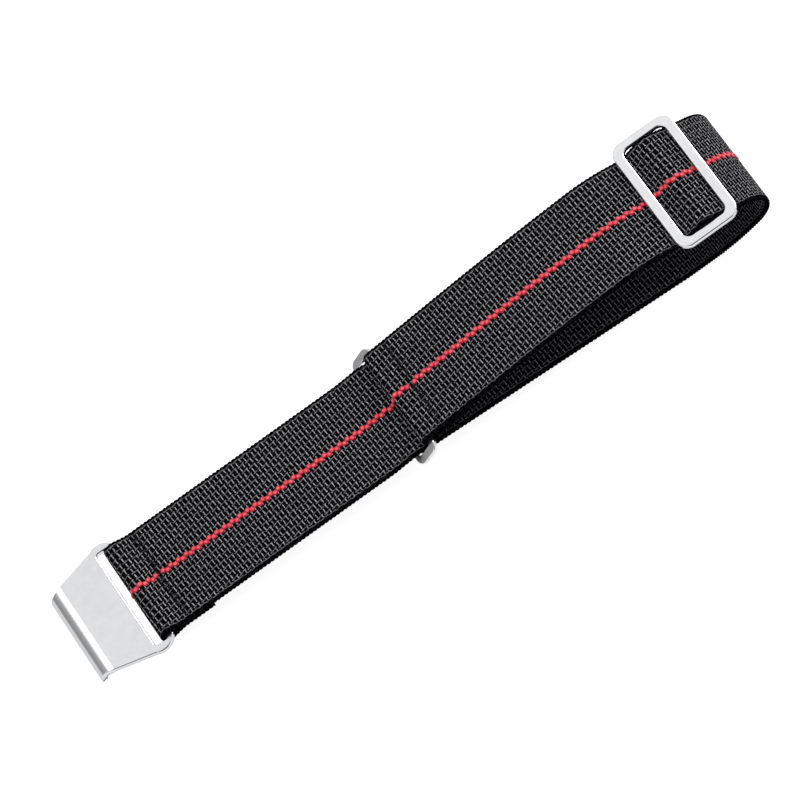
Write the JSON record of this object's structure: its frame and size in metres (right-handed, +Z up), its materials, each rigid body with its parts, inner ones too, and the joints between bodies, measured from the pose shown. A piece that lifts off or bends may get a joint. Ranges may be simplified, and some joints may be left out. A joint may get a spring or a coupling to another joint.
{
  "type": "elastic watch strap",
  "caption": "Elastic woven nylon watch strap with a bent hook clasp, a sewn keeper ring and a sliding adjuster frame on its folded loop; black with a red centre stripe",
  "frame": {"origin": "On the surface the strap lies on, under the middle of its length and width", "axes": "+X from the hook clasp to the loop's end, +Y across the band, +Z up from the surface"},
  "size_m": [0.1426, 0.024, 0.0153],
  "materials": {
    "clasp_steel": "satin with a polished bevelled rim",
    "ring_steel": "satin",
    "frame_steel": "satin with a polished bevelled rim",
    "black_nylon": "ribbed elastic weave",
    "red_yarn": "woven yarn",
    "rubber_thread": "natural latex thread",
    "sewing_thread": "bonded thread"
  },
  "bodies": {
    "ring_section": {"keeper_ring": "ring_steel", "ring_seam": "sewing_thread", "band_front_run": "black_nylon", "band_ring_pass": "black_nylon", "band_lower_run": "black_nylon", "band_upper_run": "black_nylon", "band_tail_end": "black_nylon", "stripe_front": "red_yarn", "stripe_upper": "red_yarn", "core_front": "rubber_thread", "core_upper": "rubber_thread"},
    "clasp_end": {"band_clasp_end": "black_nylon", "stripe_clasp_end": "red_yarn", "core_clasp_end": "rubber_thread", "clasp_seam": "sewing_thread"},
    "clasp": {"hook_clasp": "clasp_steel"},
    "loop_end": {"band_loop_end": "black_nylon", "band_frame_pass": "black_nylon", "stripe_loop_end": "red_yarn", "stripe_frame_pass": "red_yarn", "core_loop_end": "rubber_thread", "core_frame_pass": "rubber_thread"},
    "adjuster": {"adjuster_frame": "frame_steel"}
  },
  "joints": [
    {"name": "front_stretch", "type": "slide", "parent": "ring_section", "child": "clasp_end", "axis": [-1, 0, 0], "range_m": [0, 0.013], "stiffness_N_per_m": 600, "deforming": ["band_front_run", "stripe_front", "core_front"]},
    {"name": "clasp_swing", "type": "hinge", "parent": "clasp_end", "child": "clasp", "pos_m": [-0.05665, 0, 0.0046], "axis": [0, 1, 0], "range_deg": [-75, 75]},
    {"name": "loop_stretch", "type": "slide", "parent": "ring_section", "child": "loop_end", "axis": [1, 0, 0], "range_m": [0, 0.015], "stiffness_N_per_m": 900, "deforming": ["band_lower_run", "band_upper_run", "stripe_front", "stripe_upper", "core_front", "core_upper"]},
    {"name": "adjuster_slide", "type": "slide", "parent": "loop_end", "child": "adjuster", "axis": [1, 0, 0], "range_m": [-0.03, 0], "deforming": ["band_frame_pass", "stripe_frame_pass", "core_frame_pass", "band_upper_run", "stripe_upper", "core_upper"]}
  ]
}
